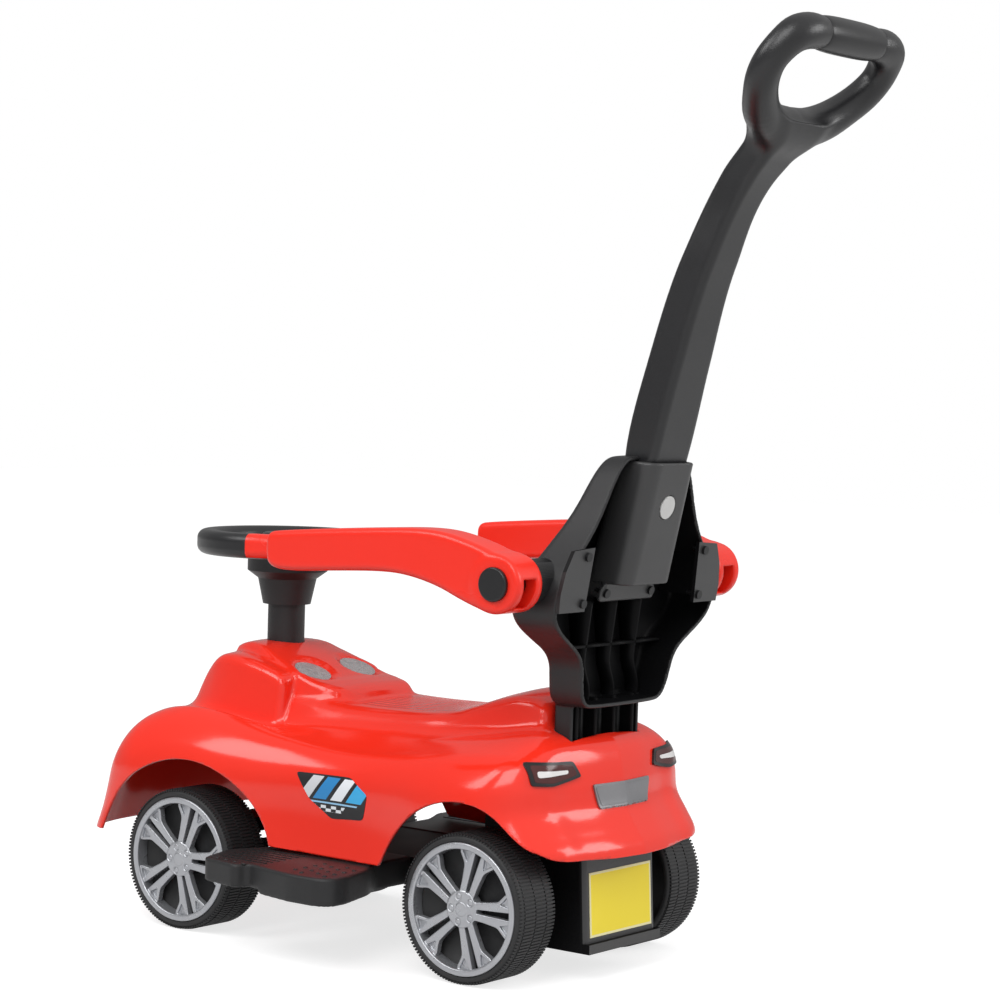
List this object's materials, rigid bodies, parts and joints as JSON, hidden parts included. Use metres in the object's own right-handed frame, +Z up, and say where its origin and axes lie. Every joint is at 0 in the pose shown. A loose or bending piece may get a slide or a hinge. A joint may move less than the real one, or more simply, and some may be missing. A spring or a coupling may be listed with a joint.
{
  "type": "push car",
  "caption": "Toddler ride-on push car: red moulded body on steered wheels, saddle, footboards, ribbed backrest, swing-up guard arms and a push handle with a loop.",
  "frame": {"origin": "on the floor, below the middle of the whole car's bounding box", "axes": "+X forward, +Y to the rider's left, +Z up"},
  "size_m": [0.8022, 0.446, 0.8798],
  "materials": {
    "red_plastic": "glossy moulded red",
    "black_plastic": "satin black, fine grain",
    "tyre_black": "blow-moulded hard tyre, ribbed tread",
    "silver_plastic": "silver lacquer on plastic",
    "grey_plastic": "light grey, satin",
    "lamp_dark": "dark printed lamp with pale strip",
    "yellow_sticker": "plain yellow film",
    "steel": "plain zinc-plated steel"
  },
  "bodies": {
    "frame": {"body_shell": "red_plastic", "number_plate": "silver_plastic", "tail_lamp_left": "lamp_dark", "tail_lamp_right": "lamp_dark", "dash_dial_left": "grey_plastic", "dash_dial_right": "grey_plastic", "chassis_pan": "black_plastic", "rear_axle_box": "black_plastic", "rear_sticker": "yellow_sticker", "rear_axle": "steel", "rear_push_nut_left": "steel", "rear_push_nut_right": "steel", "footboard_left": "black_plastic", "footboard_right": "black_plastic", "front_axle_beam": "black_plastic", "backrest_shell": "black_plastic", "handle_socket": "black_plastic", "arm_bracket_left": "black_plastic", "arm_bracket_right": "black_plastic", "pivot_cap_left": "black_plastic", "pivot_cap_right": "black_plastic", "push_handle": "black_plastic", "handle_grip": "black_plastic", "pan_screws": "steel", "box_screws": "steel", "beam_screws": "steel", "footboard_screws": "steel", "bracket_screws": "steel", "socket_screws": "steel"},
    "steering": {"steering_rod": "steel", "steering_column": "black_plastic", "steering_bell": "black_plastic", "steering_wheel": "black_plastic", "steering_inserts": "red_plastic", "hub_pad": "black_plastic"},
    "tie_rod_body": {"tie_rod": "black_plastic"},
    "button": {"lock_button": "grey_plastic"},
    "knuckle_left_body": {"knuckle_left": "black_plastic", "kingpin_clip_left": "steel", "front_push_nut_left": "steel"},
    "front_wheel_left": {"front_tyre_left": "tyre_black", "front_wheel_cover_left": "silver_plastic"},
    "rear_wheel_left": {"rear_tyre_left": "tyre_black", "rear_wheel_cover_left": "silver_plastic"},
    "arm_left": {"guard_arm_left": "red_plastic"},
    "knuckle_right_body": {"knuckle_right": "black_plastic", "kingpin_clip_right": "steel", "front_push_nut_right": "steel"},
    "front_wheel_right": {"front_tyre_right": "tyre_black", "front_wheel_cover_right": "silver_plastic"},
    "rear_wheel_right": {"rear_tyre_right": "tyre_black", "rear_wheel_cover_right": "silver_plastic"},
    "arm_right": {"guard_arm_right": "red_plastic"}
  },
  "joints": [
    {"name": "steering_turn", "type": "hinge", "parent": "frame", "child": "steering", "pos_m": [0.25509, 0, 0.368], "axis": [0, 0, 1], "range_deg": [-22, 22]},
    {"name": "kingpin_left", "type": "hinge", "parent": "frame", "child": "knuckle_left_body", "pos_m": [0.26009, 0.104, 0.07], "axis": [0, 0, 1], "range_deg": [-22, 22]},
    {"name": "front_spin_left", "type": "hinge", "parent": "knuckle_left_body", "child": "front_wheel_left", "pos_m": [0.26009, 0.1465, 0.07], "axis": [0, 1, 0], "continuous": true},
    {"name": "rear_spin_left", "type": "hinge", "parent": "frame", "child": "rear_wheel_left", "pos_m": [-0.09591, 0.1465, 0.07], "axis": [0, 1, 0], "continuous": true},
    {"name": "arm_swing_left", "type": "hinge", "parent": "frame", "child": "arm_left", "pos_m": [-0.15091, 0.1435, 0.37304], "axis": [0, -1, 0], "range_deg": [0, 95]},
    {"name": "kingpin_right", "type": "hinge", "parent": "frame", "child": "knuckle_right_body", "pos_m": [0.26009, -0.104, 0.07], "axis": [0, 0, 1], "range_deg": [-22, 22]},
    {"name": "front_spin_right", "type": "hinge", "parent": "knuckle_right_body", "child": "front_wheel_right", "pos_m": [0.26009, -0.1465, 0.07], "axis": [0, 1, 0], "continuous": true},
    {"name": "rear_spin_right", "type": "hinge", "parent": "frame", "child": "rear_wheel_right", "pos_m": [-0.09591, -0.1465, 0.07], "axis": [0, 1, 0], "continuous": true},
    {"name": "arm_swing_right", "type": "hinge", "parent": "frame", "child": "arm_right", "pos_m": [-0.15091, -0.1435, 0.37304], "axis": [0, -1, 0], "range_deg": [0, 95]},
    {"name": "tie_rod_link", "type": "hinge", "parent": "knuckle_left_body", "child": "tie_rod_body", "pos_m": [0.22809, 0.104, 0.078], "axis": [0, 0, 1], "range_deg": [-22, 22]},
    {"name": "button_press", "type": "slide", "parent": "frame", "child": "button", "axis": [0.9686, 0, 0.2487], "range_m": [0, 0.007], "stiffness_N_per_m": 600}
  ],
  "couplings": [
    {"joint": "kingpin_left", "follows": "steering_turn", "ratio": 1},
    {"joint": "kingpin_right", "follows": "steering_turn", "ratio": 1},
    {"joint": "tie_rod_link", "follows": "steering_turn", "ratio": -1}
  ]
}
